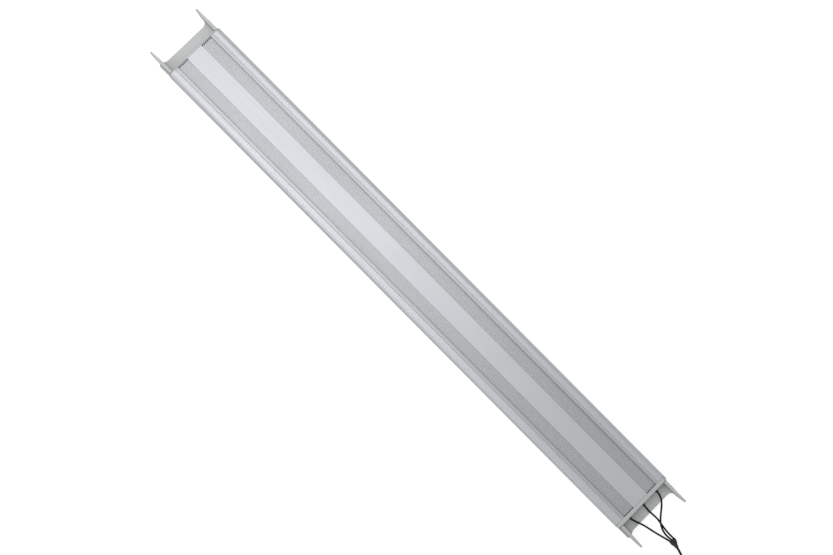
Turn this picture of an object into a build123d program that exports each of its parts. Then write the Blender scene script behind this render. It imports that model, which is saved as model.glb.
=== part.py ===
from build123d import *
import math
import os

# LED aquarium light: an extruded aluminium housing with LED boards behind a
# clear panel, and a pull-out bracket at each end whose two prongs rest on the
# tank's rim. Millimetres. +X runs towards the cable end, +Z is up, the LEDs
# shine down. The origin is under the middle of the lamp, at the level of the
# brackets' feet.

os.makedirs("parts", exist_ok=True)

# ---- driving dimensions -------------------------------------------------
EXT_X0, EXT_X1 = -570.0, 564.0      # the extrusion's cut ends
GASKET_T = 0.5                      # end gasket thickness
CAP_X = 572.0                       # outer faces of both end caps
TIP_X = 624.0                       # bracket prong tips, pushed in
TRAVEL = 50.0                       # how far each bracket pulls out

HALF_W = 62.5                       # half width of the housing
TOP_Z = 30.0                        # top of the housing
BOT_Z = 4.0                         # underside of the housing
SHOULDER_R = 8.5                    # rounded outer edges of the shoulders
LAND_HALF = 17.0                    # plain land along the middle of the top
RIB_PITCH = 2.05                    # fine cooling fins
GROOVES = 11                        # fine grooves in each ribbed band
GROOVE_W = 0.95
FIN_Z = 29.3                        # fin tops, just under the land
GROOVE_Z = 28.2                     # groove floors
EDGE_GROOVE = (40.3, 1.5, 27.2)     # deep groove beside the strip: centre, width, floor
NOTCH_PITCH = 4.1                   # comb notches across the fins' ends
NOTCHES = 6
NOTCH_W = 1.9
NOTCH_Z = 27.3
TOOTH_Z = 28.9                      # top of the gasket teeth in the notches
NOTCH_L, NOTCH_R = 3.4, 2.2         # how far they run in at each end
STRIP_Z = 29.0                      # sunk strip outside each ribbed band
STRIP_OUT = 47.5                    # where the strip meets the shoulder
SKIN_Z = 26.0                       # underside of the top skin
WALL_IN = 60.6                      # inner face of the side wall
CHAMBER_Y = 51.6                    # LED chamber half width
CHANNEL_Y = 54.6                    # inner face of each arm channel
CHANNEL_Z = 7.6                     # floor of each arm channel
CHANNEL_TOP = 20.4                  # guide lip above the arm

ARM_Y0, ARM_Y1 = 55.0, 58.0         # slide arms
PLATE_Y0, PLATE_Y1 = 53.2, 58.4     # end plates
PRONG_Y0 = 54.8                     # inner face at the prong's tip
ARM_Z0, ARM_Z1 = 8.0, 20.0
ARM_IN = 454.0                      # inner end of the slide arms, pushed in
PLATE_X = 572.6                     # where the full-depth plates start
PLATE_TOP = 29.6
WEB_Z0, WEB_Z1 = 5.0, 8.0
WEB_OUT = 598.0
FOOT_OUT = 603.0                    # step that stops against the tank's glass
LEDGE_Z, LEDGE_OUT = 11.0, 611.0
TIP_Z = 26.6
FILLET_Y = 10.5                     # plan curve where the web meets a prong
FLANGE_Y = 61.4                     # foot flange along each side plate
FLANGE_Z = 6.0
PAD_T = 1.0

SLOT_H = 4.0                        # stop slot in each arm
STOP_X = 539.0
STOP_R = 1.5

LENS_Z0, LENS_Z1 = 6.0, 8.0
LENS_HALF = 52.6

BOARD_Z0, BOARD_Z1 = 23.9, 25.5
BOARD_HALF = 42.0
BOARD_LEN = 372.0
BOARD_PITCH = 375.0
LED_PITCH = 28.6
LED_ROWS = (-30.0, -10.0, 10.0, 30.0)

SCREW_YZ = [(47.6, 21.0), (-47.6, 21.0), (47.6, 12.7), (-47.6, 12.7)]
CORD_Y = {"rear": 34.0, "middle": 0.0, "front": -34.0}
CORD_Z = 20.0
CORD_D = 3.4
LEAD_D = 4.2

MID_X = (EXT_X0 + EXT_X1) / 2
CAP_L_IN = EXT_X0 - GASKET_T        # left cap's inner face
CAP_R_IN = EXT_X1 + GASKET_T        # right cap's inner face


def write(shape, name):
    shape.label = name
    export_step(shape, f"parts/{name}.step")


def group(items):
    return Compound(children=list(items))


def box(x0, x1, y0, y1, z0, z1):
    b = Box(x1 - x0, y1 - y0, z1 - z0, align=(Align.MIN, Align.MIN, Align.MIN))
    return Pos(x0, y0, z0) * b


def rod(p, q, r):
    p, q = Vector(*p), Vector(*q)
    d = q - p
    return Plane(p, z_dir=d.normalized()) * Cylinder(
        r, d.length, align=(Align.CENTER, Align.CENTER, Align.MIN)
    )


def yz_face(points):
    """A flat face in the YZ plane at x = 0, from (y, z) corners."""
    return make_face(Plane.YZ * Polyline(*points, close=True))


def both(points):
    return [(-y, z) for y, z in points]


def prism(face, x0, x1):
    return Pos(x0, 0, 0) * extrude(face, x1 - x0, dir=(1, 0, 0))


# ---- housing profile ----------------------------------------------------
def top_half(ribbed):
    """(y, z) down the right half of the top, from the centre to the shoulder."""
    if not ribbed:
        return [(0, TOP_Z)]
    p = [(0, TOP_Z), (LAND_HALF, TOP_Z)]
    for k in range(GROOVES):
        c = LAND_HALF + 1.1 + k * RIB_PITCH
        a, b = c - GROOVE_W / 2, c + GROOVE_W / 2
        p.append((a, TOP_Z if k == 0 else FIN_Z))
        p += [(a + 0.1, GROOVE_Z), (b - 0.1, GROOVE_Z), (b, FIN_Z)]
    c, w, deep = EDGE_GROOVE
    p += [(c - w / 2, FIN_Z), (c - w / 2 + 0.15, deep), (c + w / 2 - 0.15, deep), (c + w / 2, STRIP_Z)]
    p += [(STRIP_OUT - 1.0, STRIP_Z), (STRIP_OUT - 0.2, TOP_Z - 0.05)]
    return p


def outline(ribbed=True, inset=0.0, z_drop=0.0):
    """The housing's outer section as a face in the YZ plane."""
    w, r = HALF_W - inset, SHOULDER_R - inset
    cy, cz = HALF_W - SHOULDER_R, TOP_Z - SHOULDER_R
    right = top_half(ribbed)
    if inset:
        right = [(0, TOP_Z - inset), (cy, TOP_Z - inset)]
    else:
        right = right + [(cy, TOP_Z)] if right[-1] != (cy, TOP_Z) else right
    left = both(right)[::-1]
    a = math.radians(45)
    mid = (cy + r * math.cos(a), cz + r * math.sin(a))
    base = BOT_Z + inset
    pl = Plane.YZ
    top = Polyline(*(left[:-1] + right))
    arc_r = ThreePointArc((cy, cz + r), mid, (w, cz))
    arc_l = ThreePointArc((-cy, cz + r), (-mid[0], mid[1]), (-w, cz))
    sides = Polyline((w, cz), (w, base + 0.8), (w - 0.8, base), (-(w - 0.8), base), (-w, base + 0.8), (-w, cz))
    wire = Wire([*top.edges(), arc_r.edge(), *sides.edges(), arc_l.edge()])
    return pl * Face(wire)


def channel_face(sign):
    """The side channel that an arm slides in, with its guide lips."""
    cy, cz, r = HALF_W - SHOULDER_R, TOP_Z - SHOULDER_R, WALL_IN - (HALF_W - SHOULDER_R)
    ztop = cz + math.sqrt(r * r - (CHANNEL_Y - cy) ** 2)
    a = math.radians(38)
    pts = [
        (CHANNEL_Y, ztop), (CHANNEL_Y, 22.0), (ARM_Y1, 22.0), (ARM_Y1, CHANNEL_TOP),
        (CHANNEL_Y, CHANNEL_TOP), (CHANNEL_Y, CHANNEL_Z), (ARM_Y1 + 0.4, CHANNEL_Z),
        (ARM_Y1 + 0.4, 11.0), (ARM_Y1 + 1.7, 11.0), (ARM_Y1 + 1.7, CHANNEL_Z),
        (WALL_IN, CHANNEL_Z), (WALL_IN, cz),
    ]
    mid = (cy + r * math.cos(a), cz + r * math.sin(a))
    pts = [(sign * y, z) for y, z in pts]
    line = Polyline(*pts)
    arc = ThreePointArc(pts[-1], (sign * mid[0], mid[1]), pts[0])
    f = Face(Wire([*line.edges(), arc.edge()]))
    return Plane.YZ * f


chamber = [
    (-49.5, BOT_Z - 1), (49.5, BOT_Z - 1), (49.5, 5.8), (53.0, 5.8), (53.0, 8.7),
    (CHAMBER_Y, 8.7), (CHAMBER_Y, SKIN_Z), (-CHAMBER_Y, SKIN_Z), (-CHAMBER_Y, 8.7),
    (-53.0, 8.7), (-53.0, 5.8), (-49.5, 5.8),
]
L = EXT_X1 - EXT_X0
body = prism(outline(True), EXT_X0, EXT_X1)
body -= prism(yz_face(chamber), EXT_X0 - 1, EXT_X1 + 1)
for s in (1, -1):
    body -= prism(channel_face(s), EXT_X0 - 1, EXT_X1 + 1)
# screw bosses run the whole length, in the chamber's corners
for y, z in SCREW_YZ:
    s = 1 if y > 0 else -1
    boss = rod((EXT_X0, y, z), (EXT_X1, y, z), 3.6)
    y0, y1 = sorted((y, s * (CHAMBER_Y + 0.2)))
    lo, hi = (z - 3.0, SKIN_Z + 0.2) if z > 15 else (8.9, z + 3.0)
    web = box(EXT_X0, EXT_X1, y0, y1, max(lo, 8.9), hi)
    body += boss + web
for y, z in SCREW_YZ:
    body -= rod((EXT_X0 - 1, y, z), (EXT_X0 + 14, y, z), 1.5)
    body -= rod((EXT_X1 - 14, y, z), (EXT_X1 + 1, y, z), 1.5)
board_x = [MID_X + k * BOARD_PITCH for k in (-1, 0, 1)]
screw_dx = (-171.6, 0.0, 171.6)
for bx in board_x:
    for dx in screw_dx:
        body -= rod((bx + dx, 0, SKIN_Z - 0.5), (bx + dx, 0, SKIN_Z + 3.0), 1.5)
for sx in (1, -1):
    for sy in (1, -1):
        body -= rod((sx * STOP_X, sy * 50.9, 14), (sx * STOP_X, sy * 64.5, 14), STOP_R + 0.05)
notch_y = [LAND_HALF + 1.5 + k * NOTCH_PITCH for k in range(NOTCHES)]
for s in (1, -1):
    for y in notch_y:
        y0, y1 = s * y - NOTCH_W / 2, s * y + NOTCH_W / 2
        body -= box(EXT_X0 - 1, EXT_X0 + NOTCH_L, y0, y1, NOTCH_Z, TOP_Z + 1)
        body -= box(EXT_X1 - NOTCH_R, EXT_X1 + 1, y0, y1, NOTCH_Z, TOP_Z + 1)
write(body, "housing_extrusion")

# ---- end gaskets and caps ----------------------------------------------
def arm_slots(x0, x1):
    return [
        box(x0, x1, min(s * (ARM_Y0 - 0.4), s * (ARM_Y1 + 0.4)), max(s * (ARM_Y0 - 0.4), s * (ARM_Y1 + 0.4)), CHANNEL_Z, CHANNEL_TOP)
        for s in (1, -1)
    ]


def gasket(x0, x1):
    g = prism(outline(False, 1.2), x0, x1)
    g -= box(x0 - 1, x1 + 1, -43.0, 43.0, 10.0, 24.0)
    for y, z in SCREW_YZ:
        g -= rod((x0 - 1, y, z), (x1 + 1, y, z), 1.7)
    for c in arm_slots(x0 - 1, x1 + 1):
        g -= c
    return g


def teeth(x0, x1):
    """The gasket's teeth, which close the ends of the fins' notches."""
    out = []
    for s in (1, -1):
        for y in notch_y:
            out.append(box(x0, x1, s * y - NOTCH_W / 2 + 0.08, s * y + NOTCH_W / 2 - 0.08, NOTCH_Z + 0.08, TOOTH_Z))
    return out


def comb(x0, x1, t0, t1):
    """The gasket's flat frame with a bar along the top edge that carries the teeth."""
    g = gasket(x0, x1)
    for t in teeth(t0, t1):
        g += t
    return g


write(comb(EXT_X0 - GASKET_T, EXT_X0, EXT_X0 - GASKET_T, EXT_X0 + NOTCH_L - 0.1), "end_cap_gasket_left")
write(comb(EXT_X1, EXT_X1 + GASKET_T, EXT_X1 - NOTCH_R + 0.1, EXT_X1 + GASKET_T), "end_cap_gasket_right")


def cap(x0, x1, outer, round_r):
    c = prism(outline(False), x0, x1)
    face_x = x1 if outer > 0 else x0
    edges = c.edges().filter_by(lambda e: abs(e.center().X - face_x) < 1e-3)
    if round_r:
        c = fillet(edges, round_r)
    for y, z in SCREW_YZ:
        c -= rod((x0 - 1, y, z), (x1 + 1, y, z), 1.7)
    for k in arm_slots(x0 - 1, x1 + 1):
        c -= k
    return c


cap_l = cap(-CAP_X, CAP_L_IN, -1, 0.5)
write(cap_l, "end_cap_left")
cap_r = cap(CAP_R_IN, CAP_X, 1, 1.2)
for y in CORD_Y.values():
    cap_r -= rod((CAP_R_IN - 1, y, CORD_Z), (CAP_X + 1, y, CORD_Z), 2.9)
write(cap_r, "end_cap_right")


def cap_screws(sign):
    """Pan head screws through the cap into the bosses."""
    out = []
    inner = CAP_R_IN if sign > 0 else -CAP_L_IN
    for y, z in SCREW_YZ:
        head = rod((sign * CAP_X, y, z), (sign * (CAP_X + 1.6), y, z), 2.7)
        head = fillet(head.edges().filter_by(lambda e: abs(e.center().X - sign * (CAP_X + 1.6)) < 1e-3), 0.7)
        shank = rod((sign * (inner - 11.0), y, z), (sign * (CAP_X + 0.2), y, z), 1.4)
        s = head + shank
        for a in (0, 90):
            cut = Pos(sign * (CAP_X + 1.6), y, z) * (Rot(a, 0, 0) * Box(1.6, 2.6, 0.6))
            s -= cut
        out.append(s)
    return out


write(group(cap_screws(1)), "end_cap_screws_right")
write(group(cap_screws(-1)), "end_cap_screws_left")

# ---- brackets -----------------------------------------------------------
def plan_prism(points, z0, z1):
    face = make_face(Polyline(*points, close=True))
    return Pos(0, 0, z0) * extrude(face, z1 - z0, dir=(0, 0, 1))


def bracket_right():
    b = None
    for s in (1, -1):
        # slide arm, with the slot for the stop screw
        y0, y1 = sorted((s * ARM_Y0, s * ARM_Y1))
        arm = box(ARM_IN, PLATE_X + 1.0, y0, y1, ARM_Z0, ARM_Z1)
        arm -= box(STOP_X - TRAVEL, STOP_X, y0 - 1, y1 + 1, 14 - SLOT_H / 2, 14 + SLOT_H / 2)
        for x in (STOP_X - TRAVEL, STOP_X):
            arm -= rod((x, y0 - 1, 14), (x, y1 + 1, 14), SLOT_H / 2)
        # end plate and prong, drawn from the side
        side = [
            (PLATE_X, 0.0), (FOOT_OUT, 0.0), (FOOT_OUT, LEDGE_Z), (LEDGE_OUT, LEDGE_Z),
            (TIP_X, TIP_Z), (TIP_X, PLATE_TOP - 0.8), (TIP_X - 0.8, PLATE_TOP), (PLATE_X, PLATE_TOP),
        ]
        face = make_face(Polyline(*[(x, 0, z) for x, z in side], close=True))
        plate = Pos(0, PLATE_Y0, 0) * extrude(face, PLATE_Y1 - PLATE_Y0, dir=(0, 1, 0))
        # the prong gets thinner towards its tip
        plate -= plan_prism([(FOOT_OUT, PLATE_Y0), (TIP_X + 1, PRONG_Y0), (TIP_X + 1, PLATE_Y0 - 1), (FOOT_OUT, PLATE_Y0 - 1)], -1, TOP_Z + 1)
        if s < 0:
            plate = mirror(plate, Plane.XZ)
        part = arm + plate
        b = part if b is None else b + part
    b += box(PLATE_X, WEB_OUT, -PLATE_Y0 - 0.5, PLATE_Y0 + 0.5, WEB_Z0, WEB_Z1)
    for s in (1, -1):
        # curved gusset, from the web's outer edge to the step
        p0, p1 = (WEB_OUT, s * (PLATE_Y0 - FILLET_Y)), (FOOT_OUT, s * PLATE_Y0)
        curve = ThreePointArc(p0, (WEB_OUT + 1.35, s * (PLATE_Y0 - 4.4)), p1)
        rest = Polyline(p1, (FOOT_OUT, s * (PLATE_Y0 + 0.5)), (WEB_OUT - 0.5, s * (PLATE_Y0 + 0.5)), (WEB_OUT - 0.5, p0[1]), p0)
        gusset = make_face(Wire([curve.edge(), *rest.edges()]))
        b += Pos(0, 0, WEB_Z0) * extrude(gusset, WEB_Z1 - WEB_Z0, dir=(0, 0, 1))
        # foot flange, outwards from the end plate
        y0, y1 = sorted((s * (PLATE_Y1 - 0.5), s * FLANGE_Y))
        flange = box(PLATE_X + 1.0, FOOT_OUT - 0.4, y0, y1, 0.0, FLANGE_Z)
        outer = [e for e in flange.edges().filter_by(Axis.Z) if abs(e.center().Y - s * FLANGE_Y) < 1e-3]
        b += fillet(outer, 2.0)
    # stiffening rib under the web's outer edge
    b += box(WEB_OUT - 3.0, WEB_OUT, -PLATE_Y0 - 0.5, PLATE_Y0 + 0.5, 1.2, WEB_Z0 + 0.5)
    return b


br = bracket_right()
write(br, "bracket_right")
write(mirror(br, Plane.YZ), "bracket_left")

pad_y = (PLATE_Y0 + 1.0, PLATE_Y1 - 0.2)
pads = [box(FOOT_OUT + 0.4, LEDGE_OUT - 0.4, min(s * pad_y[0], s * pad_y[1]), max(s * pad_y[0], s * pad_y[1]), LEDGE_Z - PAD_T, LEDGE_Z) for s in (1, -1)]
write(group(pads), "rim_pads_right")
write(group([mirror(p, Plane.YZ) for p in pads]), "rim_pads_left")


def stops(sx):
    out = []
    for sy in (1, -1):
        s = rod((sx * STOP_X, sy * 51.8, 14), (sx * STOP_X, sy * 62.1, 14), STOP_R)
        s -= rod((sx * STOP_X, sy * 61.0, 14), (sx * STOP_X, sy * 62.3, 14), 0.75)
        out.append(s)
    return out


write(group(stops(1)), "travel_stop_screws_right")
write(group(stops(-1)), "travel_stop_screws_left")

# ---- light engine -------------------------------------------------------
names = ("left", "middle", "right")
thermal = []
for n, bx in zip(names, board_x):
    b = box(bx - BOARD_LEN / 2, bx + BOARD_LEN / 2, -BOARD_HALF, BOARD_HALF, BOARD_Z0, BOARD_Z1)
    t = box(bx - BOARD_LEN / 2, bx + BOARD_LEN / 2, -BOARD_HALF, BOARD_HALF, BOARD_Z1, SKIN_Z)
    for dx in screw_dx:
        hole = rod((bx + dx, 0, BOARD_Z0 - 1), (bx + dx, 0, SKIN_Z + 1), 1.7)
        b -= hole
        t -= hole
    write(b, f"led_board_{n}")
    thermal.append(t)
write(group(thermal), "thermal_pads")

board_screws = []
for bx in board_x:
    for dx in screw_dx:
        h = rod((bx + dx, 0, BOARD_Z0 - 1.6), (bx + dx, 0, BOARD_Z0), 2.7)
        h = fillet(h.edges().filter_by(lambda e: abs(e.center().Z - (BOARD_Z0 - 1.6)) < 1e-3), 0.6)
        h += rod((bx + dx, 0, BOARD_Z0 - 0.1), (bx + dx, 0, SKIN_Z + 2.6), 1.4)
        for a in (0, 90):
            h -= Pos(bx + dx, 0, BOARD_Z0 - 1.6) * (Rot(0, 0, a) * Box(2.6, 0.6, 1.4))
        board_screws.append(h)
write(group(board_screws), "board_screws")

leds = {"white": [], "blue": [], "red": []}
for bi, bx in enumerate(board_x):
    for i in range(13):
        x = bx + (i - 6) * LED_PITCH
        for r, y in enumerate(LED_ROWS):
            xx = x + (LED_PITCH / 2 if r in (1, 2) and i < 12 else 0)
            if r in (1, 2) and i == 12:
                continue
            kind = "white"
            if r in (1, 2):
                kind = "blue" if (i + r) % 2 == 0 else "white"
                if i % 6 == 3 and r == 1:
                    kind = "red"
            leds[kind].append(box(xx - 2.5, xx + 2.5, y - 2.5, y + 2.5, BOARD_Z0 - 1.4, BOARD_Z0))
for kind, items in leds.items():
    write(group(items), f"{kind}_leds")

write(box(EXT_X0, EXT_X1, -LENS_HALF, LENS_HALF, LENS_Z0, LENS_Z1), "lens_panel")
seal = [box(EXT_X0, EXT_X1, min(s * 51.8, s * 52.8), max(s * 51.8, s * 52.8), LENS_Z1, 8.6) for s in (1, -1)]
write(group(seal), "lens_seal")

# ---- cable exits --------------------------------------------------------
GROM_OUT = 6.0
for n, y in CORD_Y.items():
    g = rod((CAP_R_IN - 1.6, y, CORD_Z), (CAP_R_IN, y, CORD_Z), 3.5)
    g += rod((CAP_R_IN - 0.5, y, CORD_Z), (CAP_X, y, CORD_Z), 2.8)
    nose = Plane((CAP_X, y, CORD_Z), z_dir=(1, 0, 0)) * Cone(2.7, 2.0, GROM_OUT, align=(Align.CENTER, Align.CENTER, Align.MIN))
    g += nose
    write(g, f"cable_grommet_{n}")

inner = []
for y in CORD_Y.values():
    inner.append(rod((547.0, y, CORD_Z), (CAP_R_IN - 1.6, y, CORD_Z), CORD_D / 2))
write(group(inner), "inner_leads")


# ---- free cords ---------------------------------------------------------
def tube(name, pts, d):
    """A round tube along straight runs joined by tangent arcs."""
    vs = [Vector(*p) for p in pts]
    radii = []
    for i in range(1, len(vs) - 1):
        a, b = vs[i] - vs[i - 1], vs[i + 1] - vs[i]
        turn = math.radians(a.get_angle(b))
        radii.append(0.45 * min(a.length, b.length) / math.tan(turn / 2))
    path = FilletPolyline(*vs, radius=radii)
    start = path.edges()[0]
    prof = Plane(vs[0], z_dir=(vs[1] - vs[0]).normalized()) * Circle(d / 2)
    solid = sweep(prof, path=path)
    want = math.pi * d * d / 4 * path.length
    runs = [round((q - p).length, 1) for p, q in zip(vs, vs[1:])]
    print(f"{name}: length {path.length:.1f}, radii/d {[round(r / d, 1) for r in radii]}, runs {runs}, volume/expected {solid.volume / want:.4f}")
    write(solid, name)
    return path


NOSE_X = CAP_X + GROM_OUT
cord_pts = {
    "rear": [(NOSE_X, 34.0, 20.0), (588.0, 32.6, 19.9), (599.0, 24.4, 19.5), (610.0, 10.4, 18.9), (622.0, -2.6, 17.8), (636.0, -8.6, 15.2), (649.0, -9.9, 12.5), (661.6, -7.9, 9.8)],
    "middle": [(NOSE_X, 0.0, 20.0), (588.0, -1.5, 19.4), (600.0, -0.5, 17.5), (613.0, 0.3, 15.2), (627.0, -1.8, 13.2), (640.0, -3.7, 11.8), (651.0, -4.0, 10.9), (662.2, -3.6, 9.7)],
    "front": [(NOSE_X, -34.0, 20.0), (588.0, -31.4, 19.6), (600.0, -26.5, 18.2), (613.5, -23.3, 16.3), (628.0, -20.2, 14.4), (642.0, -16.5, 12.6), (652.0, -13.7, 11.3), (661.2, -11.5, 9.8)],
}
for n, pts in cord_pts.items():
    tube(f"cord_{n}", pts, CORD_D)

# moulded joint: three leads in, one lead out
J0 = Vector(660.0, -7.6, 10.0)
JA = Vector(17.0, -3.0, -3.2).normalized()
JW = Vector(3.0, 17.0, 0.0).normalized()
J_LEN = 17.5
s0 = Plane(J0, x_dir=JW, z_dir=JA) * RectangleRounded(13.0, 6.2, 2.6)
s1 = Plane(J0 + JA * 7.0, x_dir=JW, z_dir=JA) * RectangleRounded(12.4, 6.8, 2.8)
s2 = Plane(J0 + JA * J_LEN, x_dir=JW, z_dir=JA) * RectangleRounded(6.4, 6.0, 2.6)
joint = loft([s0, s1, s2], ruled=True)
write(joint, "lead_joint")

COIL_C = (709.0, -60.0)
COIL_R = 25.0
R_STEP = 4.3
J1 = J0 + JA * (J_LEN - 1.0)
R_OUT = COIL_R + R_STEP
enter = (COIL_C[0] + R_OUT * 0.6, COIL_C[1] + R_OUT * 0.8, 2.3)
main_pts = [(J1.X, J1.Y, J1.Z), (688.0, -12.9, 4.7), (700.5, -17.8, 2.9), (713.5, -25.6, 2.3), enter]
tube("main_lead", main_pts, LEAD_D)

coil_prof = Plane.XZ * (Pos(COIL_R, 6.9) * RectangleRounded(3 * R_STEP + 0.4, 13.8, 2.0))
coil = Pos(COIL_C[0], COIL_C[1], 0) * revolve(coil_prof, Axis.Z)
write(coil, "lead_coil")

# end of the lead, from the top of the coil to the plug
ri = COIL_R - R_STEP
def on_coil(deg, r, z):
    a = math.radians(deg)
    return (COIL_C[0] + r * math.cos(a), COIL_C[1] + r * math.sin(a), z)


PLUG_Z = 18.7
tail_end = (COIL_C[0] - 7.0, COIL_C[1] - ri - 0.3, PLUG_Z)
tail_pts = [on_coil(-38, ri, 12.4), on_coil(-56, ri + 0.1, 14.3), on_coil(-74, ri + 0.4, 16.4), (COIL_C[0] - 0.2, COIL_C[1] - ri - 0.5, 17.9), tail_end]
tube("lead_tail", tail_pts, LEAD_D)

# hook-and-loop tie round the bundle, on the coil's far side
tie_a = 20.0
t_out = Box(3 * R_STEP + 3.4, 9.0, 15.0)
t_in = Box(3 * R_STEP + 1.0, 10.0, 12.8)
tie = Pos(0, 0, 7.5) * (fillet(t_out.edges().filter_by(Axis.Y), 2.6) - fillet(t_in.edges().filter_by(Axis.Y), 1.8))
tie = Pos(COIL_C[0], COIL_C[1], 0) * (Rot(0, 0, tie_a) * (Pos(COIL_R, 0, 0) * tie))
write(tie, "coil_tie")

# low-voltage barrel plug, lying on the coil, pointing along -X
PX, PY = tail_end[0], tail_end[1]
def plug_rod(a, b, r):
    return rod((PX - a, PY, PLUG_Z), (PX - b, PY, PLUG_Z), r)


sleeve = Plane((PX + 1.0, PY, PLUG_Z), z_dir=(-1, 0, 0)) * Cone(2.6, 3.6, 8.0, align=(Align.CENTER, Align.CENTER, Align.MIN))
grip = plug_rod(6.5, 21.0, 4.75)
grip = fillet(grip.edges().filter_by(GeomType.CIRCLE), 1.0)
for k in range(4):
    ring = plug_rod(9.0 + 2.4 * k, 10.0 + 2.4 * k, 5.5) - plug_rod(8.5 + 2.4 * k, 10.5 + 2.4 * k, 4.35)
    grip -= ring
write(sleeve + grip, "dc_plug_body")
BARREL_LEN = 9.5
barrel = plug_rod(21.0, 21.0 + BARREL_LEN, 2.75) - plug_rod(20.0, 22.0 + BARREL_LEN, 2.4)
write(barrel, "dc_plug_barrel")
insul = plug_rod(21.0, 20.6 + BARREL_LEN, 2.4) - plug_rod(22.0, 22.0 + BARREL_LEN, 1.05)
write(insul, "dc_plug_insulator")
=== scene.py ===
import bpy
import bmesh
import math
from mathutils import Matrix, Vector


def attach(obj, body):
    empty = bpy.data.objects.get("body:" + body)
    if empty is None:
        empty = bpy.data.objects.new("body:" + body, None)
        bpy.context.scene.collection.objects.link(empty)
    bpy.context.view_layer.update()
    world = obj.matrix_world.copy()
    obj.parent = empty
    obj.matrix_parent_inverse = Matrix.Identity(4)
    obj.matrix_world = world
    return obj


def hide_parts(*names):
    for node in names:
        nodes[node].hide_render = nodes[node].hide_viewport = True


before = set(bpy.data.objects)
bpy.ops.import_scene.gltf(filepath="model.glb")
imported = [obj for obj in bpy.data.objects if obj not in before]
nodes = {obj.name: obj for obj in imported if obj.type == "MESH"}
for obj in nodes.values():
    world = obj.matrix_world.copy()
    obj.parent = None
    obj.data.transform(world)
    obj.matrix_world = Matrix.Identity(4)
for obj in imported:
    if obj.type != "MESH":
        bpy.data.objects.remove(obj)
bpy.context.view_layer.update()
scene = bpy.context.scene
MM = 0.001


def link(ob):
    scene.collection.objects.link(ob)
    return ob


# ---------------------------------------------------------------- camera
def make_camera():
    """High above the lamp, turned so that its cable end points to the lower right."""
    tx, ty, roll = 0.00782179, -0.0743889860, 0.790441977
    back = Vector((math.tan(tx), math.tan(ty), 1.0)).normalized()
    right = Vector((math.cos(roll), math.sin(roll), 0.0))
    right = (right - back * right.dot(back)).normalized()
    up = back.cross(right)
    place = Vector((-0.00124, -0.00150, 0.015)) + back * 2.0
    cam = bpy.data.cameras.new("camera")
    cam.lens = 36.0 * 1107.68 / 833.0
    cam.sensor_width = 36.0
    cam.clip_start, cam.clip_end = 0.05, 20.0
    ob = link(bpy.data.objects.new("camera", cam))
    m = Matrix((right, up, back)).transposed().to_4x4()
    m.translation = place
    ob.matrix_world = m
    scene.camera = ob
    return ob


make_camera()


# ---------------------------------------------------------------- node helpers
class Tree:
    """Short names for building a material's nodes."""

    def __init__(self, name):
        self.mat = bpy.data.materials.new(name)
        self.mat.use_nodes = True
        self.t = self.mat.node_tree
        self.t.nodes.clear()
        self.out = self.t.nodes.new("ShaderNodeOutputMaterial")
        self.bsdf = self.t.nodes.new("ShaderNodeBsdfPrincipled")
        self.t.links.new(self.bsdf.outputs[0], self.out.inputs[0])
        self.coord = self.t.nodes.new("ShaderNodeTexCoord")

    def put(self, kind, **props):
        n = self.t.nodes.new(kind)
        for k, v in props.items():
            setattr(n, k, v)
        return n

    def join(self, a, b):
        self.t.links.new(a, b)

    def mapped(self, scale):
        n = self.put("ShaderNodeMapping")
        n.inputs["Scale"].default_value = scale
        self.join(self.coord.outputs["Object"], n.inputs["Vector"])
        return n.outputs[0]

    def noise(self, scale, detail=3.0, rough=0.55, stretch=(1, 1, 1), distortion=0.0):
        n = self.put("ShaderNodeTexNoise")
        n.inputs["Scale"].default_value = scale
        n.inputs["Detail"].default_value = detail
        n.inputs["Roughness"].default_value = rough
        n.inputs["Distortion"].default_value = distortion
        self.join(self.mapped(stretch), n.inputs["Vector"])
        return n.outputs["Fac"]

    def ranged(self, src, lo, hi, frm=(0.3, 0.7)):
        n = self.put("ShaderNodeMapRange")
        n.inputs["From Min"].default_value, n.inputs["From Max"].default_value = frm
        n.inputs["To Min"].default_value, n.inputs["To Max"].default_value = lo, hi
        self.join(src, n.inputs["Value"])
        return n.outputs["Result"]

    def math(self, op, a, b):
        n = self.put("ShaderNodeMath", operation=op)
        for s, v in zip(n.inputs, (a, b)):
            if isinstance(v, (int, float)):
                s.default_value = v
            else:
                self.join(v, s)
        return n.outputs[0]

    def mix(self, fac, a, b, kind="MIX"):
        n = self.put("ShaderNodeMix", data_type="RGBA", blend_type=kind)
        for s, v in ((n.inputs["Factor"], fac), (n.inputs[6], a), (n.inputs[7], b)):
            if isinstance(v, (int, float)):
                s.default_value = v
            elif isinstance(v, (tuple, list)):
                s.default_value = (*v[:3], 1.0)
            else:
                self.join(v, s)
        return n.outputs[2]

    def bump(self, height, strength, distance, after=None):
        n = self.put("ShaderNodeBump")
        n.inputs["Strength"].default_value = strength
        n.inputs["Distance"].default_value = distance
        self.join(height, n.inputs["Height"])
        if after is not None:
            self.join(after, n.inputs["Normal"])
        return n.outputs[0]

    def edge(self, lo=0.505, hi=0.56):
        g = self.put("ShaderNodeNewGeometry")
        return self.ranged(g.outputs["Pointiness"], 0.0, 1.0, (lo, hi))

    def set(self, **values):
        for k, v in values.items():
            s = self.bsdf.inputs[k.replace("_", " ")]
            if isinstance(v, (int, float)):
                s.default_value = v
            elif isinstance(v, (tuple, list)):
                s.default_value = (*v[:3], 1.0)
            else:
                self.join(v, s)
        return self


def shade(c, k):
    return tuple(min(1.0, x * k) for x in c[:3])


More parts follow.
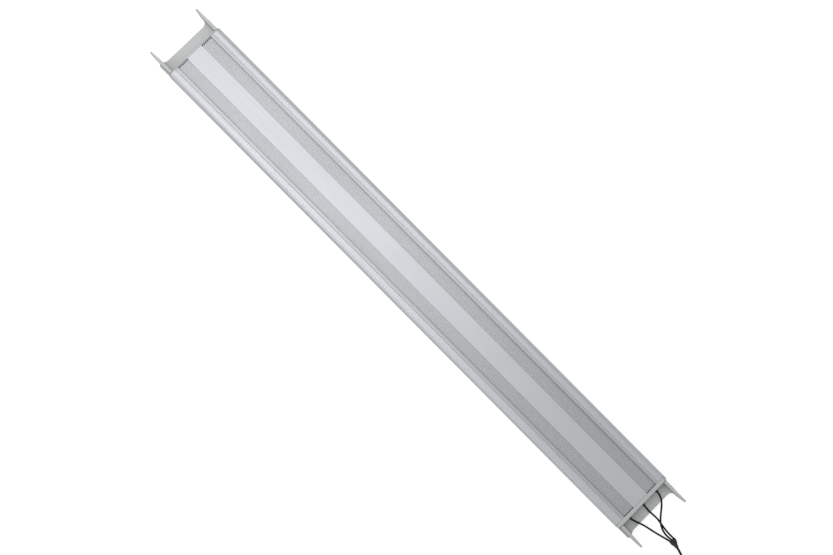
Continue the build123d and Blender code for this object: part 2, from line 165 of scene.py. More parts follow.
def metal(name, base, rough=0.42, metallic=0.75, lines=0.5, var=0.035, painted_light_bands=None):
    """Satin metal with fine lengthwise draw lines, faint mottling and worn edges.
    Band factors: (place across the lamp in mm, factor) pairs that paint shade into the grooves and ribbed bands and
    paint highlight onto the shoulder edges, set unevenly on the two sides."""
    t = Tree(name)
    fine = t.noise(1.0, 4.0, 0.6, (6.0, 1400.0, 1400.0))
    broad = t.noise(9.0, 5.0, 0.6, (0.35, 1.0, 1.0), 0.4)
    spots = t.noise(420.0, 2.0, 0.5)
    col = t.mix(t.ranged(broad, 0.0, 1.0), shade(base, 1.0 - var), shade(base, 1.0 + var))
    col = t.mix(t.ranged(fine, 0.0, 0.35), col, shade(base, 0.93))
    col = t.mix(t.math("MULTIPLY", t.edge(), 0.15), col, shade(base, 1.12))
    # painted light: shade and highlight laid into the colour in bands across the lamp
    if painted_light_bands:
        sep = t.put("ShaderNodeSeparateXYZ")
        t.join(t.coord.outputs["Object"], sep.inputs[0])
        ramp = t.put("ShaderNodeValToRGB")
        t.join(t.math("MULTIPLY", t.math("ADD", sep.outputs["Y"], 0.070), 1 / 0.140), ramp.inputs["Fac"])
        els = ramp.color_ramp.elements
        while len(els) > 2:
            els.remove(els[-1])
        for i, (y, k) in enumerate(painted_light_bands):
            e = els[i] if i < 2 else els.new((y + 70.0) / 140.0)
            e.position = (y + 70.0) / 140.0
            e.color = tuple(k if isinstance(k, (tuple, list)) else (k, k, k)) + (1.0,)
        up = t.put("ShaderNodeSeparateXYZ")              # the painted shade and highlight go only on the faces that look up
        t.join(t.coord.outputs["Normal"], up.inputs[0])
        col = t.mix(t.ranged(up.outputs["Z"], 0.0, 1.0, (0.05, 0.3)), col, ramp.outputs["Color"], "MULTIPLY")
    r = t.math("ADD", t.ranged(broad, rough - 0.05, rough + 0.05), t.ranged(fine, -0.04, 0.04))
    n = t.bump(fine, 0.10 * lines, 0.0002)
    n = t.bump(spots, 0.03, 0.0002, n)
    t.set(Base_Color=col, Roughness=r, Metallic=metallic, Normal=n)
    return t.mat


def coated(name, base, rough=0.5, var=0.03, grain=1900.0, depth=0.12, metallic=0.0, upright_painted_shade=None, low_painted_light=None):
    """Powder coat or moulded plastic: fine orange peel, faint dust and rubbed edges.
    Upright faces are darkened by a given factor as painted shade, and faces below a given height in m are lightened by
    a factor as painted light on the low, shaded parts."""
    t = Tree(name)
    peel = t.noise(grain, 2.0, 0.5)
    broad = t.noise(14.0, 5.0, 0.62, (1, 1, 1), 0.6)
    dust = t.noise(160.0, 6.0, 0.7)
    col = t.mix(t.ranged(broad, 0.0, 1.0), shade(base, 1.0 - var), shade(base, 1.0 + var))
    col = t.mix(t.ranged(dust, 0.0, 0.10, (0.5, 0.75)), col, shade(base, 1.15))
    col = t.mix(t.math("MULTIPLY", t.edge(), 0.15), col, shade(base, 1.2))
    # painted shade: faces that stand upright are darkened, as where light from above misses them
    if upright_painted_shade:
        sep = t.put("ShaderNodeSeparateXYZ")
        t.join(t.coord.outputs["Normal"], sep.inputs[0])
        col = t.mix(t.ranged(t.math("ABSOLUTE", sep.outputs["Z"], 0.0), 1.0, 0.0, (0.25, 0.9)), col, (upright_painted_shade,) * 3, "MULTIPLY")
    # painted light: faces below the given height are lightened against the shade that falls on the low parts
    if low_painted_light:
        sep = t.put("ShaderNodeSeparateXYZ")
        t.join(t.coord.outputs["Object"], sep.inputs[0])
        col = t.mix(t.ranged(sep.outputs["Z"], 1.0, 0.0, (low_painted_light[0] - 0.001, low_painted_light[0] + 0.001)), col, (low_painted_light[1],) * 3, "MULTIPLY")
    r = t.math("ADD", t.ranged(broad, rough - 0.06, rough + 0.06), t.ranged(dust, 0.0, 0.08, (0.45, 0.75)))
    t.set(Base_Color=col, Roughness=r, Metallic=metallic, Normal=t.bump(peel, depth, 0.0003))
    return t.mat


def jacket(name, base=(0.0022, 0.0022, 0.0025), rough=0.58):
    """Extruded cord jacket: satin, with slight handling marks."""
    t = Tree(name)
    fine = t.noise(900.0, 3.0, 0.6)
    broad = t.noise(60.0, 4.0, 0.6)
    col = t.mix(t.ranged(broad, 0.0, 1.0), shade(base, 0.8), shade(base, 1.5))
    r = t.math("ADD", t.ranged(broad, rough - 0.07, rough + 0.09), t.ranged(fine, -0.03, 0.05))
    t.set(Base_Color=col, Roughness=r, Specular_IOR_Level=0.13, Normal=t.bump(fine, 0.12, 0.0002))
    return t.mat


def clear(name):
    """Clear polished acrylic with a faint edge tint and a few hairline scuffs."""
    t = Tree(name)
    scuff = t.noise(30.0, 8.0, 0.75, (1, 6, 6), 1.2)
    r = t.ranged(scuff, 0.02, 0.10, (0.55, 0.75))
    col = t.mix(t.ranged(scuff, 0.0, 0.25, (0.55, 0.8)), (0.965, 0.985, 0.98), (0.90, 0.94, 0.94))
    t.set(Base_Color=col, Roughness=r, Transmission_Weight=1.0, IOR=1.49, Normal=t.bump(scuff, 0.02, 0.0001))
    return t.mat


def board(name):
    """White solder mask with the copper runs just showing through it."""
    t = Tree(name)
    base = (0.80, 0.82, 0.80)
    sep = t.put("ShaderNodeSeparateXYZ")
    t.join(t.coord.outputs["Object"], sep.inputs[0])
    # two wide copper areas beside each row of LEDs, with a gap line between
    w = t.math("FRACT", t.math("MULTIPLY", t.math("ADD", sep.outputs["Y"], 0.1), 1 / 0.020), 0.0)
    gap = t.math("LESS_THAN", t.math("ABSOLUTE", t.math("SUBTRACT", w, 0.5), 0.0), 0.035)
    u = t.math("FRACT", t.math("MULTIPLY", t.math("ADD", sep.outputs["X"], 1.0), 1 / 0.0286), 0.0)
    cross = t.math("LESS_THAN", t.math("ABSOLUTE", t.math("SUBTRACT", u, 0.5), 0.0), 0.02)
    lines = t.math("MAXIMUM", gap, cross)
    grain = t.noise(700.0, 3.0, 0.6)
    broad = t.noise(22.0, 4.0, 0.6)
    col = t.mix(t.ranged(broad, 0.0, 1.0), shade(base, 0.97), shade(base, 1.03))
    col = t.mix(t.math("MULTIPLY", lines, 0.35), col, (0.60, 0.63, 0.58))
    r = t.ranged(grain, 0.30, 0.42)
    n = t.bump(t.math("SUBTRACT", 1.0, lines), 0.25, 0.0001)
    t.set(Base_Color=col, Roughness=r, Normal=t.bump(grain, 0.06, 0.0002, n))
    return t.mat


def weave(name, base):
    t = Tree(name)
    fuzz = t.noise(2600.0, 4.0, 0.7)
    rows = t.put("ShaderNodeTexWave", wave_type="BANDS", bands_direction="Z")
    rows.inputs["Scale"].default_value = 900.0
    rows.inputs["Distortion"].default_value = 2.0
    t.join(t.coord.outputs["Object"], rows.inputs["Vector"])
    h = t.math("ADD", t.math("MULTIPLY", fuzz, 0.7), t.math("MULTIPLY", rows.outputs["Fac"], 0.4))
    col = t.mix(t.ranged(h, 0.0, 1.0, (0.2, 0.9)), shade(base, 0.6), shade(base, 1.6))
    t.set(Base_Color=col, Roughness=0.9, Sheen_Weight=0.4, Normal=t.bump(h, 0.5, 0.0005))
    return t.mat


SILVER = (0.46, 0.468, 0.482)
# painted shade and highlight across the housing top, by place across the lamp in mm: darker grooves and ribbed bands,
# lighter shoulder edges, unequal on the two sides
SHADE_AND_HIGHLIGHT_BANDS = [(-66.0, 1.18), (-60.0, 1.10), (-57.0, 1.0), (-47.4, 1.0), (-46.4, 0.84), (-41.3, 0.84), (-41.1, 0.76), (-39.5, 0.76), (-39.3, 0.86), (-34.0, 0.92),
         (-17.2, 0.92), (-16.9, 1.0), (16.9, 1.0), (17.2, 0.93), (34.5, 0.93), (39.3, 0.83), (39.5, 0.66), (41.1, 0.66), (41.3, 0.84), (46.2, 0.86),
         (47.4, 1.0), (56.0, 1.0), (58.5, 1.10), (60.5, 1.25), (66.0, 1.30)]
M = {
    "silver": metal("silver_housing", SILVER, 0.44, 0.35, 0.6, painted_light_bands=SHADE_AND_HIGHLIGHT_BANDS),
    "cap": coated("silver_cap_paint", (0.45, 0.455, 0.455), 0.46, 0.02, metallic=0.25),
    # the bracket's upright faces carry painted shade and its parts below 10 mm carry painted light
    "bracket": coated("grey_bracket_coat", (0.41, 0.42, 0.405), 0.5, 0.03, upright_painted_shade=0.74, low_painted_light=(0.010, 1.08)),
    "gasket": coated("gasket_rubber", (0.012, 0.012, 0.013), 0.8, 0.1, 800.0, 0.2),
    "gasket_face": coated("gasket_face", (0.42, 0.425, 0.43), 0.7, 0.05, 800.0, 0.2),
    "screw": metal("screw_steel", (0.62, 0.62, 0.63), 0.28, 1.0, 0.2),
    "cord": jacket("cord_jacket"),
    "lead": jacket("lead_jacket", (0.0045, 0.0045, 0.005), 0.5),
    "grommet": coated("grommet_rubber", (0.010, 0.010, 0.011), 0.6, 0.12, 900.0, 0.15),
    "moulding": coated("black_moulding", (0.010, 0.010, 0.011), 0.5, 0.12, 1600.0, 0.2),
    "nickel": metal("plug_nickel", (0.72, 0.70, 0.66), 0.2, 1.0, 0.1),
    "tie": weave("tie_fabric", (0.030, 0.030, 0.034)),
    "pad": coated("rim_pad_rubber", (0.42, 0.43, 0.43), 0.62, 0.05, 700.0, 0.15),
    "board": board("board_mask"),
    "clear": clear("clear_panel"),
    "seal": coated("seal_silicone", (0.62, 0.62, 0.60), 0.4, 0.05, 900.0, 0.1),
    "thermal": coated("thermal_pad", (0.36, 0.42, 0.56), 0.8, 0.08, 600.0, 0.2),
    "package": coated("led_package", (0.78, 0.77, 0.73), 0.35, 0.03, 3000.0, 0.05),
    "solder": metal("solder", (0.66, 0.66, 0.66), 0.25, 1.0, 0.0, 0.08),
    "chip_part": coated("chip_part", (0.05, 0.05, 0.055), 0.4, 0.1, 2500.0, 0.1),
}


def glow(name, base, rough=0.3, coat=0.6):
    """An LED's filled cup: a soft gel over its phosphor or chip."""
    t = Tree(name)
    cells = t.noise(2600.0, 3.0, 0.6)
    broad = t.noise(500.0, 2.0, 0.5)
    col = t.mix(t.ranged(cells, 0.0, 1.0), shade(base, 0.9), shade(base, 1.08))
    col = t.mix(t.ranged(broad, 0.0, 0.2), col, shade(base, 0.8))
    t.set(Base_Color=col, Roughness=t.ranged(cells, rough - 0.05, rough + 0.08), Coat_Weight=coat, Coat_Roughness=0.08)
    return t.mat


M["phosphor"] = glow("phosphor", (0.86, 0.72, 0.16))
M["blue_cup"] = glow("blue_cup", (0.22, 0.38, 0.80))
M["red_cup"] = glow("red_cup", (0.80, 0.20, 0.12))


# ---------------------------------------------------------------- cords first
def nurbs_cord(name, pts_mm, diameter, mat, res=10):
    cu = bpy.data.curves.new(name, "CURVE")
    cu.dimensions = "3D"
    s = cu.splines.new("NURBS")
    s.points.add(len(pts_mm) - 1)
    for p, q in zip(s.points, pts_mm):
        p.co = (q[0] * MM, q[1] * MM, q[2] * MM, 1.0)
    s.order_u = 3
    s.use_endpoint_u = True
    s.resolution_u = res
    cu.resolution_u = res
    cu.bevel_depth = diameter / 2 * MM
    cu.bevel_resolution = 6
    cu.use_fill_caps = True
    cu.materials.append(mat)
    return link(bpy.data.objects.new(name, cu))


CORD_D, LEAD_D = 3.4, 4.2
cord_pts = {
    "rear": [(578.0, 34.0, 20.0), (588.0, 32.6, 19.9), (599.0, 24.4, 19.5), (610.0, 10.4, 18.9), (622.0, -2.6, 17.8), (636.0, -8.6, 15.2), (649.0, -9.9, 12.5), (661.6, -7.9, 9.8)],
    "middle": [(578.0, 0.0, 20.0), (588.0, -1.5, 19.4), (600.0, -0.5, 17.5), (613.0, 0.3, 15.2), (627.0, -1.8, 13.2), (640.0, -3.7, 11.8), (651.0, -4.0, 10.9), (662.2, -3.6, 9.7)],
    "front": [(578.0, -34.0, 20.0), (588.0, -31.4, 19.6), (600.0, -26.5, 18.2), (613.5, -23.3, 16.3), (628.0, -20.2, 14.4), (642.0, -16.5, 12.6), (652.0, -13.7, 11.3), (661.2, -11.5, 9.8)],
}
cords = {n: nurbs_cord(f"lead_{n}", p, CORD_D, M["cord"], 8) for n, p in cord_pts.items()}

# the moulded joint's frame
J0 = Vector((660.0, -7.6, 10.0))
JA = Vector((17.0, -3.0, -3.2)).normalized()
JW = Vector((3.0, 17.0, 0.0)).normalized()
JH = JA.cross(JW)
J_LEN = 17.5
J1 = J0 + JA * (J_LEN - 1.0)

COIL_C, COIL_R, R_STEP = (709.0, -60.0), 25.0, 4.3
R_OUT = COIL_R + R_STEP
START_A = math.degrees(math.atan2(0.8, 0.6))
TIE_A = 20.0


def coil_points():
    """The put-away turns, wound clockwise in three lanes and three layers, as points of the lead's own spline."""
    out, steps = [], 16
    keep = 1 / (0.75 + 0.25 * math.cos(2 * math.pi / steps))
    lanes = [R_OUT, COIL_R, COIL_R - R_STEP]
    layers = [2.4, 6.8, 11.2]
    order = [(lanes[k], layers[0]) for k in (0, 1, 2)] + [(lanes[k], layers[1]) for k in (2, 1, 0)] + [(lanes[k], layers[2]) for k in (0, 1, 2)]
    for turn, (r, z) in enumerate(order):
        nr, nz = order[turn + 1] if turn < 8 else (r, z)
        last = steps if turn < 8 else 4
        for i in range(last):
            if turn == 0 and i == 0:
                continue
            a = START_A - 360.0 * i / steps
            f = max(0.0, min(1.0, (i - 12.5) / 3.5)) if turn < 8 else 0.0
            f = f * f * (3 - 2 * f)
            rr, zz = r + (nr - r) * f, z + (nz - z) * f
            off = (a - TIE_A + 180) % 360 - 180
            zz += 0.95 * max(0.0, 1 - (off / 60.0) ** 2)
            wob = 0.10 * math.sin(1.7 * turn + 0.9 * i)
            ra = math.radians(a)
            out.append((COIL_C[0] + (rr * keep + wob) * math.cos(ra), COIL_C[1] + (rr * keep + wob) * math.sin(ra), zz + 0.05 * math.sin(2.1 * i + turn)))
    return out


def on_coil(deg, r, z):
    a = math.radians(deg)
    return (COIL_C[0] + r * math.cos(a), COIL_C[1] + r * math.sin(a), z)


ri = COIL_R - R_STEP
PLUG_Z = 18.7
tail_end = (COIL_C[0] - 7.0, COIL_C[1] - ri - 0.3, PLUG_Z)
enter = (COIL_C[0] + R_OUT * 0.6, COIL_C[1] + R_OUT * 0.8, 2.3)
lead_in = [(J1.x, J1.y, J1.z), (688.0, -12.9, 4.7), (700.5, -17.8, 2.9), (713.5, -25.6, 2.3), enter]
tail = [on_coil(-38, ri, 12.4), on_coil(-56, ri + 0.1, 14.3), on_coil(-74, ri + 0.4, 16.4), (COIL_C[0] - 0.2, COIL_C[1] - ri - 0.5, 17.9), tail_end]
main_lead = nurbs_cord("main_lead_cord", lead_in + coil_points() + tail, LEAD_D, M["lead"], 5)


# ---------------------------------------------------------------- mesh helpers
def new_mesh(name, bm, mat, smooth_deg=35.0):
    me = bpy.data.meshes.new(name)
    bmesh.ops.recalc_face_normals(bm, faces=bm.faces[:])
    for f in bm.faces:
        f.smooth = True
    lim = math.radians(smooth_deg)
    for e in bm.edges:
        e.smooth = not (len(e.link_faces) == 2 and e.calc_face_angle(0.0) > lim)
    bm.to_mesh(me)
    bm.free()
    ob = link(bpy.data.objects.new(name, me))
    for m in mat if isinstance(mat, (list, tuple)) else [mat]:
        me.materials.append(m)
    return ob


def refine(node, mat, width_mm, segments=2, angle=30.0, name=None, merge=True):
    """A CAD part's own shape with its edges eased, standing for the CAD node."""
    src = nodes[node]
    bm = bmesh.new()
    bm.from_mesh(src.data)
    bmesh.ops.remove_doubles(bm, verts=bm.verts[:], dist=2e-6)
    if merge:
        bmesh.ops.dissolve_limit(bm, angle_limit=math.radians(0.6), verts=bm.verts[:], edges=bm.edges[:])
    ob = new_mesh(name or f"{node}_shape", bm, mat)
    bev = ob.modifiers.new("ease", "BEVEL")
    bev.width = width_mm * MM
    bev.segments = segments
    bev.limit_method = "ANGLE"
    bev.angle_limit = math.radians(angle)
    bev.use_clamp_overlap = True
    bev.miter_outer = "MITER_ARC"
    tri = ob.modifiers.new("faces", "TRIANGULATE")     # concave many-sided faces are cut up cleanly here
    tri.ngon_method, tri.min_vertices = "BEAUTY", 5
    wn = ob.modifiers.new("normals", "WEIGHTED_NORMAL")
    wn.keep_sharp = True
    dg = bpy.context.evaluated_depsgraph_get()
    me = bpy.data.meshes.new_from_object(ob.evaluated_get(dg))
    ob.modifiers.clear()
    old, ob.data = ob.data, me
    bpy.data.meshes.remove(old)
    me.name = ob.name
    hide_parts(node)
    return ob


def lathe(name, profile_mm, origin_mm, axis, mat, n=40, xdir=None):
    """profile is (distance along the axis, radius) pairs, closed at both ends."""
    axis = Vector(axis).normalized()
    u = Vector(xdir) if xdir else axis.orthogonal().normalized()
    v = axis.cross(u)
    o = Vector(origin_mm)
    bm = bmesh.new()
    rings = []
    for d, r in profile_mm:
        if r < 1e-6:
            rings.append([bm.verts.new((o + axis * d) * MM)])
        else:
            rings.append([bm.verts.new((o + axis * d + (u * math.cos(a) + v * math.sin(a)) * r) * MM) for a in (2 * math.pi * i / n for i in range(n))])
    for a, b in zip(rings, rings[1:]):
        for i in range(n):
            j = (i + 1) % n
            if len(a) == 1 and len(b) == 1:
                continue
            if len(a) == 1:
                bm.faces.new((a[0], b[i], b[j]))
            elif len(b) == 1:
                bm.faces.new((a[i], b[0], a[j]))
            else:
                bm.faces.new((a[i], b[i], b[j], a[j]))
    return new_mesh(name, bm, mat, 40.0)


def sweep_rings(name, rings, mat, smooth=40.0):
    """A closed skin through rings of equal point counts, capped at both ends."""
    bm = bmesh.new()
    vs = [[bm.verts.new(Vector(p) * MM) for p in ring] for ring in rings]
    n = len(rings[0])
    for a, b in zip(vs, vs[1:]):
        for i in range(n):
            j = (i + 1) % n
            bm.faces.new((a[i], a[j], b[j], b[i]))
    bm.faces.new(vs[0])
    bm.faces.new(vs[-1][::-1])
    return new_mesh(name, bm, mat, smooth)


# ---------------------------------------------------------------- housing
def ride_all(body, *obs):
    for o in obs:
        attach(o, body)


housing = refine("housing_extrusion", M["silver"], 0.22, 2)
cap_l = refine("end_cap_left", M["silver"], 0.25, 2)
cap_r = refine("end_cap_right", M["cap"], 0.3, 2)
ride_all("housing", housing, cap_l, cap_r)
for n, near in (("end_cap_gasket_left", -0.57), ("end_cap_gasket_right", 0.564)):
    o = refine(n, [M["gasket_face"], M["gasket"]], 0.12, 2)
    for f in o.data.polygons:
        if abs(f.center.x) < abs(near) - 0.0001 or (0.016 < abs(f.center.y) < 0.0405 and f.center.z > 0.0266):
            f.material_index = 1
    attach(o, "housing")
for n, w in (("end_cap_screws_left", 0.12), ("end_cap_screws_right", 0.12), ("travel_stop_screws_left", 0.2), ("travel_stop_screws_right", 0.2), ("board_screws", 0.12)):
    o = refine(n, M["screw"], w, 2)
    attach(o, "housing")

for side in ("left", "right"):
    b = refine(f"bracket_{side}", M["bracket"], 0.45, 3, merge=False)
    p = refine(f"rim_pads_{side}", M["pad"], 0.3, 3)
    ride_all(f"bracket_{side}_body", b, p)

# ---------------------------------------------------------------- light engine
for n in ("led_board_left", "led_board_middle", "led_board_right"):
    o = refine(n, M["board"], 0.15, 1)
    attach(o, "housing")
nodes["thermal_pads"].data.materials.clear()
nodes["thermal_pads"].data.materials.append(M["thermal"])
panel = refine("lens_panel", M["clear"], 0.3, 2)
seal = refine("lens_seal", M["seal"], 0.15, 2)
ride_all("housing", panel, seal)

MID_X = -3.0
BOARD_Z0 = 23.9


def led_places():
    found = {"white": [], "blue": [], "red": []}
    for bx in (MID_X - 375.0, MID_X, MID_X + 375.0):
        for i in range(13):
            x = bx + (i - 6) * 28.6
            for r, y in enumerate((-30.0, -10.0, 10.0, 30.0)):
                if r in (1, 2) and i == 12:
                    continue
                kind = "white"
                if r in (1, 2):
                    kind = "blue" if (i + r) % 2 == 0 else "white"
                    if i % 6 == 3 and r == 1:
                        kind = "red"
                found[kind].append((x + (14.3 if r in (1, 2) and i < 12 else 0.0), y))
    return found


def led_mesh(bm, x, y):
    """One surface-mount LED, facing down: a white frame, a round cup with its gel, and the solder feet."""
    def v(px, py, pz):
        return bm.verts.new(((x + px) * MM, (y + py) * MM, (BOARD_Z0 + pz) * MM))

    n = 24
    sq = []
    for i in range(n):
        a = 2 * math.pi * (i + 0.5) / n
        c, s = math.cos(a), math.sin(a)
        k = 2.45 / max(abs(c), abs(s))
        px, py = c * k, s * k
        if px > 1.9 and py > 1.9:
            px, py = 2.15, 2.15
        sq.append((px, py))
    rings = [
        [v(px, py, -0.10) for px, py in sq],
        [v(px, py, -1.22) for px, py in sq],
        [v(px * 0.965, py * 0.965, -1.36) for px, py in sq],
        [v(2.05 * math.cos(2 * math.pi * (i + 0.5) / n), 2.05 * math.sin(2 * math.pi * (i + 0.5) / n), -1.36) for i in range(n)],
        [v(1.85 * math.cos(2 * math.pi * (i + 0.5) / n), 1.85 * math.sin(2 * math.pi * (i + 0.5) / n), -1.12) for i in range(n)],
        [v(1.0 * math.cos(2 * math.pi * (i + 0.5) / n), 1.0 * math.sin(2 * math.pi * (i + 0.5) / n), -1.17) for i in range(n)],
    ]
    faces = []
    for k, (a, b) in enumerate(zip(rings, rings[1:])):
        for i in range(n):
            j = (i + 1) % n
            f = bm.faces.new((a[i], b[i], b[j], a[j]))
            f.material_index = 1 if k >= 4 else 0
    f = bm.faces.new(rings[-1])
    f.material_index = 1
    f = bm.faces.new(rings[0][::-1])
    f.material_index = 0
    for sx in (-1, 1):
        for py in (-1.5, 0.0, 1.5):
            g = bmesh.ops.create_cube(bm, size=1.0)
            bmesh.ops.scale(bm, vec=(0.5 * MM, 0.9 * MM, 0.22 * MM), verts=g["verts"])
            bmesh.ops.translate(bm, vec=((x + sx * 2.5) * MM, (y + py) * MM, (BOARD_Z0 - 0.12) * MM), verts=g["verts"])
            for f in {f for w in g["verts"] for f in w.link_faces}:
                f.material_index = 2


for kind, places in led_places().items():
    bm = bmesh.new()
    for x, y in places:
        led_mesh(bm, x, y)
    cup = {"white": M["phosphor"], "blue": M["blue_cup"], "red": M["red_cup"]}[kind]
    o = new_mesh(f"{kind}_led_packages", bm, [M["package"], cup, M["solder"]])
    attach(o, "housing")
    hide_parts(f"{kind}_leds")


def board_parts():
    """Small resistors between the rows, solder pads at the board ends and the bridges from board to board."""
    bm = bmesh.new()

    def brick(cx, cy, z0, z1, dx, dy, idx, ease=0.0):
        g = bmesh.ops.create_cube(bm, size=1.0)
        bmesh.ops.scale(bm, vec=(dx * MM, dy * MM, (z1 - z0) * MM), verts=g["verts"])
        bmesh.ops.translate(bm, vec=(cx * MM, cy * MM, (z0 + z1) / 2 * MM), verts=g["verts"])
        fs = {f for w in g["verts"] for f in w.link_faces}
        for f in fs:
            f.material_index = idx
        if ease:
            es = list({e for f in fs for e in f.edges})
            r = bmesh.ops.bevel(bm, geom=es, offset=ease * MM, segments=2, profile=0.5, affect="EDGES")
            for f in r["faces"]:
                f.material_index = idx

    for bx in (MID_X - 375.0, MID_X, MID_X + 375.0):
        for i in range(6):
            for y in (-20.0, 20.0):
                cx = bx - 143.0 + i * 57.2
                brick(cx, y, BOARD_Z0 - 0.55, BOARD_Z0 - 0.02, 2.0, 1.6, 1, 0.08)
                for s in (-1, 1):
                    brick(cx + s * 1.25, y, BOARD_Z0 - 0.6, BOARD_Z0 - 0.02, 0.6, 1.65, 0, 0.08)
        for sx in (-1, 1):
            for y in (-37.0, -21.0, -3.5, 3.5, 21.0, 37.0):
                brick(bx + sx * 183.0, y, BOARD_Z0 - 0.35, BOARD_Z0 - 0.01, 3.0, 2.4, 0, 0.15)
    for jx in (MID_X - 187.5, MID_X + 187.5):
        for y in (-37.0, -21.0, 21.0, 37.0):
            brick(jx, y, BOARD_Z0 - 0.9, BOARD_Z0 - 0.3, 8.0, 1.3, 2, 0.2)
    o = new_mesh("board_parts", bm, [M["solder"], M["chip_part"], M["cord"]], 30.0)
    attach(o, "housing")
    return o


board_parts()

# inner leads from the grommets up to the last board's pads
for k, y in enumerate((34.0, 0.0, -34.0)):
    pad = {34.0: 37.0, 0.0: 3.5, -34.0: -37.0}[y]
    pts = [(562.6, y, 20.0), (560.0, y, 19.9), (557.8, y + (pad - y) * 0.3, 19.7), (556.6, y + (pad - y) * 0.7, 20.6), (555.6, pad, 21.6), (554.9, pad, 22.7), (554.6, pad, 23.5)]
    o = nurbs_cord(f"inner_lead_{k}", pts, 2.4, M["cord"], 8)
    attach(o, "housing")
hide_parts("inner_leads")

# ---------------------------------------------------------------- cable exits
for n, y in (("rear", 34.0), ("middle", 0.0), ("front", -34.0)):
    prof = [(-1.4, 0.0), (-1.4, 2.7), (-0.1, 2.75), (0.0, 3.25), (0.35, 3.35), (0.75, 3.25), (0.95, 2.75), (1.5, 2.55), (2.1, 2.6), (2.3, 2.35), (2.7, 2.33), (2.9, 2.5), (3.5, 2.42), (3.7, 2.2), (4.1, 2.18), (4.3, 2.34), (4.9, 2.25), (5.1, 2.05), (5.5, 2.03), (5.75, 2.15), (6.0, 2.05), (6.1, 1.75), (6.1, 0.0)]
    g = lathe(f"grommet_{n}", prof, (572.0, y, 20.0), (1, 0, 0), M["grommet"], 36)
    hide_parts(f"cable_grommet_{n}")
    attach(g, "housing")

# ---------------------------------------------------------------- lead joint
def joint_ring(d, hw, hh, power=2.6, n=40):
    c = J0 + JA * d
    pts = []
    for i in range(n):
        a = 2 * math.pi * i / n
        ca, sa = math.cos(a), math.sin(a)
        x = math.copysign(abs(ca) ** (2 / power), ca) * hw
        y = math.copysign(abs(sa) ** (2 / power), sa) * hh
        pts.append(c + JW * x + JH * y)
    return pts


rings = [joint_ring(*s) for s in [
    (-0.4, 5.6, 2.2), (0.0, 6.15, 2.75), (0.8, 6.5, 3.05), (3.0, 6.5, 3.2), (6.0, 6.25, 3.35), (8.0, 5.6, 3.4), (10.0, 4.7, 3.35), (11.6, 4.0, 3.25),
    (12.4, 3.7, 3.2), (12.6, 3.2, 2.9), (13.2, 3.2, 2.9), (13.4, 3.55, 3.1), (14.2, 3.45, 3.05), (14.4, 3.0, 2.8), (15.0, 2.95, 2.75), (15.2, 3.25, 2.95), (16.2, 3.1, 2.85), (16.4, 2.7, 2.6), (16.9, 2.65, 2.55), (17.1, 2.9, 2.75), (17.5, 2.75, 2.6), (17.7, 2.3, 2.3)]]
joint = sweep_rings("lead_joint_moulding", rings, M["moulding"])
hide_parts("lead_joint")

# ---------------------------------------------------------------- plug and tie
PX, PY = tail_end[0], tail_end[1]
back = (-1, 0, 0)
body_prof = [(-1.4, 0.0), (-1.4, 2.35), (-1.0, 2.6), (0.2, 2.75), (0.4, 2.45), (1.2, 2.5), (1.4, 2.9), (2.4, 3.0), (2.6, 2.7), (3.4, 2.75), (3.6, 3.15), (4.6, 3.25), (4.8, 2.95), (5.6, 3.0), (5.8, 3.5), (6.4, 4.0), (7.0, 4.5), (7.8, 4.7),
             (9.0, 4.72), (9.15, 4.4), (9.85, 4.4), (10.0, 4.72), (11.4, 4.72), (11.55, 4.4), (12.25, 4.4), (12.4, 4.72), (13.8, 4.72), (13.95, 4.4), (14.65, 4.4), (14.8, 4.72), (16.2, 4.72), (16.35, 4.4), (17.05, 4.4), (17.2, 4.72), (19.9, 4.7), (20.7, 4.4), (21.0, 3.9), (21.0, 0.0)]
plug_body = lathe("plug_moulding", body_prof, (PX, PY, PLUG_Z), back, M["moulding"], 44)
barrel_prof = [(21.0, 2.4), (21.0, 2.75), (29.9, 2.75), (30.3, 2.62), (30.5, 2.45), (30.45, 2.33), (28.0, 2.3), (21.0, 2.4)]
plug_barrel = lathe("plug_barrel_shell", barrel_prof, (PX, PY, PLUG_Z), back, M["nickel"], 48)
insul_prof = [(21.0, 0.0), (21.0, 2.28), (29.9, 2.26), (30.1, 2.1), (30.1, 1.3), (29.9, 1.12), (22.0, 1.06), (22.0, 0.0)]
plug_insul = lathe("plug_insulator_core", insul_prof, (PX, PY, PLUG_Z), back, M["moulding"], 40)
for o, n in ((plug_body, "dc_plug_body"), (plug_barrel, "dc_plug_barrel"), (plug_insul, "dc_plug_insulator")):
    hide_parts(n)


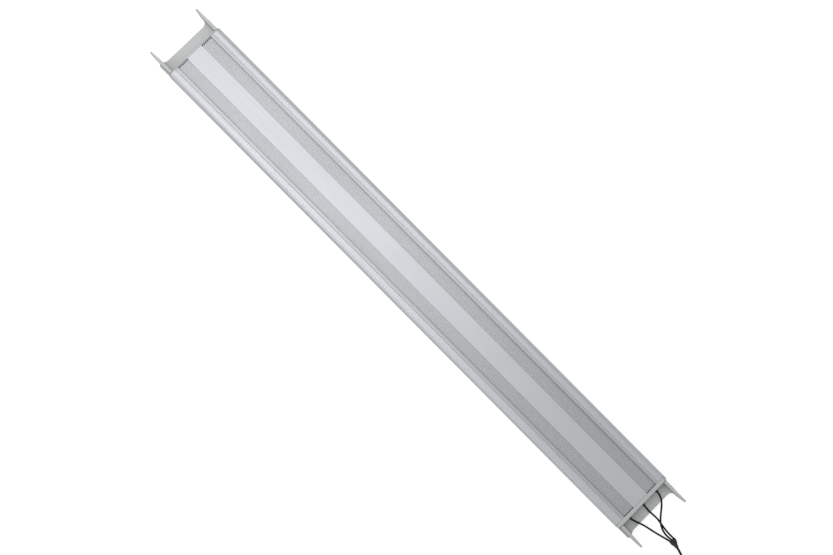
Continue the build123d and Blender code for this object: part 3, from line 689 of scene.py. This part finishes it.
def tie_band():
    """A hook-and-loop band round the bundle, with its overlap on top."""
    cx, cz = COIL_R, 7.5
    loop = []
    hw, hh, r = 7.5, 7.3, 3.0
    n = 10
    for qx, qz, a0 in ((1, 1, 0), (-1, 1, 90), (-1, -1, 180), (1, -1, 270)):
        for i in range(n + 1):
            a = math.radians(a0 + 90.0 * i / n)
            loop.append((cx + qx * (hw - r) + r * math.cos(a), cz + qz * (hh - r) + r * math.sin(a)))
    bm = bmesh.new()
    rot = Matrix.Rotation(math.radians(TIE_A), 4, "Z")
    m = len(loop)
    cols = []
    for k, (w, t) in enumerate([(-4.2, 0.0), (-4.3, -0.45), (-4.2, -0.85), (-2.0, -0.92), (2.0, -0.92), (4.2, -0.85), (4.3, -0.45), (4.2, 0.0), (2.0, 0.06), (-2.0, 0.06)]):
        col = []
        for i, (x, z) in enumerate(loop):
            px, pz = loop[i - 1]
            nx, nz = loop[(i + 1) % m]
            d = Vector((nx - px, nz - pz)).normalized()
            out = Vector((d.y, -d.x))
            p = Vector((x + out.x * (t - 0.15), w + 0.05 * math.sin(i * 1.3 + k), z + out.y * (t - 0.15)))
            q = rot @ p
            col.append(bm.verts.new(((COIL_C[0] + q.x) * MM, (COIL_C[1] + q.y) * MM, max(q.z, 0.05) * MM)))
        cols.append(col)
    for a, b in zip(cols, cols[1:] + cols[:1]):
        for i in range(m):
            j = (i + 1) % m
            bm.faces.new((a[i], a[j], b[j], b[i]))
    return new_mesh("tie_band", bm, M["tie"], 60.0)


tie = tie_band()
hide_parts("coil_tie")
ride_all("housing", joint, plug_body, plug_barrel, plug_insul, tie, main_lead, *cords.values())
for n, c in cords.items():
    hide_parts(f"cord_{n}")
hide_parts("main_lead", "lead_coil", "lead_tail")

for n, long in (("rear", 0.098), ("middle", 0.085), ("front", 0.086)):
    p = cord_pts[n][0]


# ---------------------------------------------------------------- stage and light
FLOOR_GLOW, FLOOR_BOUNCE = 0.55, 0.27


def floor():
    bm = bmesh.new()
    bmesh.ops.create_grid(bm, x_segments=8, y_segments=8, size=6.0)
    t = Tree("floor_white")
    broad = t.noise(0.8, 3.0, 0.5)
    col = t.mix(t.ranged(broad, 0.0, 1.0), (0.235, 0.235, 0.235), (0.25, 0.25, 0.25))
    seen = t.put("ShaderNodeLightPath")
    glow_by = t.math("ADD", t.math("MULTIPLY", seen.outputs["Is Camera Ray"], FLOOR_GLOW), FLOOR_BOUNCE)
    t.set(Base_Color=col, Roughness=0.9, Emission_Color=(1.0, 1.0, 1.0), Emission_Strength=glow_by, Specular_IOR_Level=0.0)
    # from below the floor isn't seen, so the lamp's underside can be looked at
    side = t.put("ShaderNodeNewGeometry")
    below = t.math("MULTIPLY", side.outputs["Backfacing"], seen.outputs["Is Camera Ray"])
    pick = t.put("ShaderNodeMixShader")
    t.join(below, pick.inputs[0])
    t.join(t.bsdf.outputs[0], pick.inputs[1])
    t.join(t.put("ShaderNodeBsdfTransparent").outputs[0], pick.inputs[2])
    t.join(pick.outputs[0], t.out.inputs[0])
    ob = new_mesh("floor", bm, t.mat)
    ob.location.z = -0.0002
    return ob


floor()


def area(name, place, aim, size, watts, colour=(1, 1, 1), sy=None, spread=180.0):
    li = bpy.data.lights.new(name, "AREA")
    li.shape = "RECTANGLE" if sy else "SQUARE"
    li.size = size
    if sy:
        li.size_y = sy
    li.energy = watts
    li.color = colour
    li.spread = math.radians(spread)
    ob = link(bpy.data.objects.new(name, li))
    ob.location = place
    d = Vector(aim) - Vector(place)
    ob.rotation_euler = d.to_track_quat("-Z", "Y").to_euler()
    return ob


area("key_softbox", (-0.62, -0.1, 1.9), (-0.45, 0.0, 0.0), 1.7, 24.0, (0.985, 0.992, 1.0), 1.7)
area("front_softbox", (-0.2, -2.0, 1.5), (-0.1, 0.0, 0.0), 1.6, 11.5, (1.0, 1.0, 0.995), 1.0)

world = bpy.data.worlds.new("studio")
scene.world = world
world.use_nodes = True
bg = world.node_tree.nodes["Background"]
bg.inputs["Color"].default_value = (0.96, 0.98, 1.0, 1.0)
seen = world.node_tree.nodes.new("ShaderNodeLightPath")
level = world.node_tree.nodes.new("ShaderNodeMapRange")      # the backdrop is as pale as the floor, without adding light
level.inputs["To Min"].default_value, level.inputs["To Max"].default_value = 0.56, 1.03
world.node_tree.links.new(seen.outputs["Is Camera Ray"], level.inputs["Value"])
world.node_tree.links.new(level.outputs["Result"], bg.inputs["Strength"])
scene.view_settings.view_transform = "Standard"
scene.view_settings.look = "None"
scene.view_settings.exposure = 0.0
